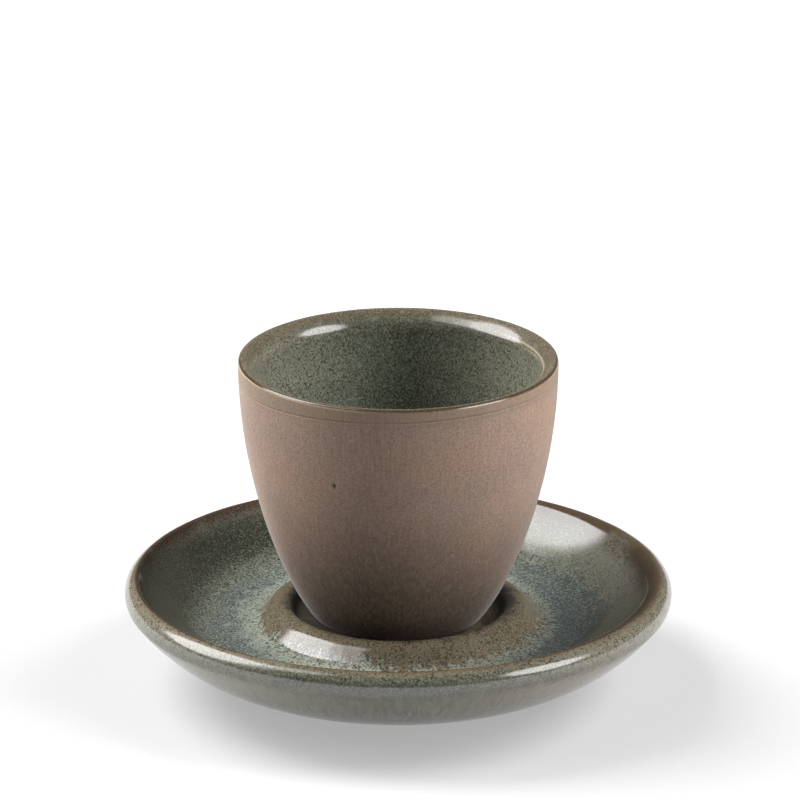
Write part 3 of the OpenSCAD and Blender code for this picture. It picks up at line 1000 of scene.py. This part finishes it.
def makeSaucerGlazeMesh():
    outline = saucerGlazeOutline(saucerShape["crestRound"])
    crest = Vector((rimCentres(saucerShape["crestRound"])[0].x, rimZ))
    softOutline = saucerGlazeOutline(softRim["crestRound"])
    mesh = turnOutline(outline, crest, Vector((0, seatZ)), softOutline)
    blendOutlines(mesh, softRim)

    def weight(vert):  # the well's floor and the foot keep their places
        radius = math.hypot(vert.co.x, vert.co.y) / mm
        overFoot = smooth(saucerShape["footHeight"], saucerWave["fullFrom"], vert.co.z / mm)
        return smooth(wellCentre.x, ringCentre.x, radius) * overFoot

    waveSkin(mesh, saucerWave, weight)
    return mesh


def makeRecessMesh():
    outline = saucerRecess(0) + saucerRecess(glazeThick)[::-1]
    return turnOutline(outline, outline[0], outline[-1])


finishPiece("cup_clay", makeCupClay(), "cup", "cup_body", makeClay("cup clay", True))
finishPiece("cup_glaze_coat", makeCupGlazeMesh(), "cup", "cup_glaze", makeCupGlaze())
finishPiece(
    "saucer_clay", makeSaucerClay(), "saucer", "saucer_body", makeClay("saucer clay", False),
)
finishPiece(
    "saucer_glaze_coat", makeSaucerGlazeMesh(), "saucer", "saucer_glaze", makeSaucerGlaze(),
)
finishPiece(
    "recess_glaze_coat", makeRecessMesh(), "saucer", "recess_glaze", makeRecessGlaze(),
)


# Floor, light and camera. An azimuth of 0 looks to the back, 90 to the right; lengths here are in metres.
stageLook = {
    "floorColour": (0.25, 0.25, 0.253), "floorGlow": 0.38, "floorSize": 40, "floorDrop": 0.02 * mm,
    "dim": 0.08, "horizon": 1.0, "horizonTop": 0.02,
}
# Each softbox is a core with a wider, weaker panel behind it. The edge lights stand behind on both sides:
# they light the outline and don't show in the glaze.
panels = {
    "left": {"azimuth": -82, "elevation": 36, "distance": 3.0, "size": (2.2, 2.3), "strength": 3.8},
    "leftWide": {"azimuth": -86, "elevation": 37, "distance": 3.1, "size": (2.9, 2.8), "strength": 1.2},
    "leftTop": {"azimuth": -112, "elevation": 59, "distance": 3.05, "size": (1.4, 1.2), "strength": 1.9},
    "right": {"azimuth": 114, "elevation": 26, "distance": 3.0, "size": (1.9, 1.6), "strength": 4.0},
    "rightWide": {"azimuth": 114, "elevation": 26, "distance": 3.1, "size": (2.5, 2.0), "strength": 1.0},
    "leftEdge": {
        "azimuth": -57, "elevation": 46, "distance": 3.0, "size": (2.2, 1.9), "strength": 19,
        "inGlaze": False,
    },
    "rightEdge": {
        "azimuth": 82, "elevation": 44, "distance": 3.0, "size": (2.2, 1.6), "strength": 16,
        "inGlaze": False,
    },
}
cameraPlace = {
    "elevation": 19.28, "distance": 1.3494, "aim": (0.00036, 0, 0.06133), "lens": 288.5, "sensor": 36,
    "nearest": 0.01, "farthest": 100,
}


def outward(azimuth, elevation):
    a, e = math.radians(azimuth), math.radians(elevation)
    return Vector((math.sin(a) * math.cos(e), math.cos(a) * math.cos(e), math.sin(e)))


def makeFloor():
    mesh = bmesh.new()
    bmesh.ops.create_grid(mesh, x_segments=2, y_segments=2, size=stageLook["floorSize"] / 2)
    data = bpy.data.meshes.new("floor")
    mesh.to_mesh(data)
    mesh.free()
    material, tree = newMaterial("floor")
    plain = addNode(tree, "BsdfDiffuse", {"Color": rgba(stageLook["floorColour"])})
    glow = addNode(tree, "Emission", {"Strength": stageLook["floorGlow"]})
    pale = addNode(tree, "AddShader", {0: plain.outputs[0], 1: glow.outputs[0]})
    path = addNode(tree, "LightPath").outputs
    seen = calc(tree, "MAXIMUM", path["Is Camera Ray"], path["Is Glossy Ray"])
    seen = calc(tree, "MAXIMUM", seen, path["Is Transmission Ray"])
    look = addNode(tree, "MixShader", {0: seen, 1: plain.outputs[0], 2: pale.outputs[0]})
    addNode(tree, "OutputMaterial", {"Surface": look.outputs[0]})
    data.materials.append(material)
    floor = bpy.data.objects.new("floor", data)
    floor.location.z = -stageLook["floorDrop"]
    bpy.context.scene.collection.objects.link(floor)


def makePanel(name, panel):
    lamp = bpy.data.lights.new(name, "AREA")
    lamp.shape = "ELLIPSE"
    lamp.size, lamp.size_y = panel["size"]
    area = math.pi / 4 * lamp.size * lamp.size_y
    lamp.energy = panel["strength"] * math.pi * area
    lampObject = bpy.data.objects.new(name, lamp)
    lampObject.visible_glossy = panel.get("inGlaze", True)
    way = outward(panel["azimuth"], panel["elevation"])
    lampObject.location = way * panel["distance"]
    lampObject.rotation_mode = "QUATERNION"
    lampObject.rotation_quaternion = way.to_track_quat("Z", "Y")
    bpy.context.scene.collection.objects.link(lampObject)


def makeWorld():
    world = bpy.data.worlds.new("studio")
    bpy.context.scene.world = world
    world.use_nodes = True
    tree = world.node_tree
    tree.nodes.clear()
    up = addNode(tree, "SeparateXYZ", {0: addNode(tree, "TexCoord").outputs["Generated"]}).outputs[2]
    low = rise(tree, up, 2 * stageLook["horizonTop"], stageLook["horizonTop"])
    brighter = calc(tree, "MULTIPLY", low, stageLook["horizon"] - stageLook["dim"])
    level = calc(tree, "ADD", brighter, stageLook["dim"])
    sky = addNode(tree, "Background", {"Color": (1, 1, 1, 1), "Strength": level})
    addNode(tree, "OutputWorld", {"Surface": sky.outputs[0]})


def makeCamera():
    camera = bpy.data.cameras.new("camera")
    camera.sensor_width, camera.lens = cameraPlace["sensor"], cameraPlace["lens"]
    camera.clip_start, camera.clip_end = cameraPlace["nearest"], cameraPlace["farthest"]
    cameraObject = bpy.data.objects.new("camera", camera)
    back = outward(180, cameraPlace["elevation"])
    cameraObject.location = Vector(cameraPlace["aim"]) + back * cameraPlace["distance"]
    cameraObject.rotation_mode = "QUATERNION"
    cameraObject.rotation_quaternion = back.to_track_quat("Z", "Y")
    bpy.context.scene.collection.objects.link(cameraObject)
    bpy.context.scene.camera = cameraObject


makeFloor()
for panelName, panelSizes in panels.items():
    makePanel(panelName + " panel", panelSizes)
makeWorld()
makeCamera()
bpy.context.scene.view_settings.view_transform = "Standard"
print("stage, light and camera are set")
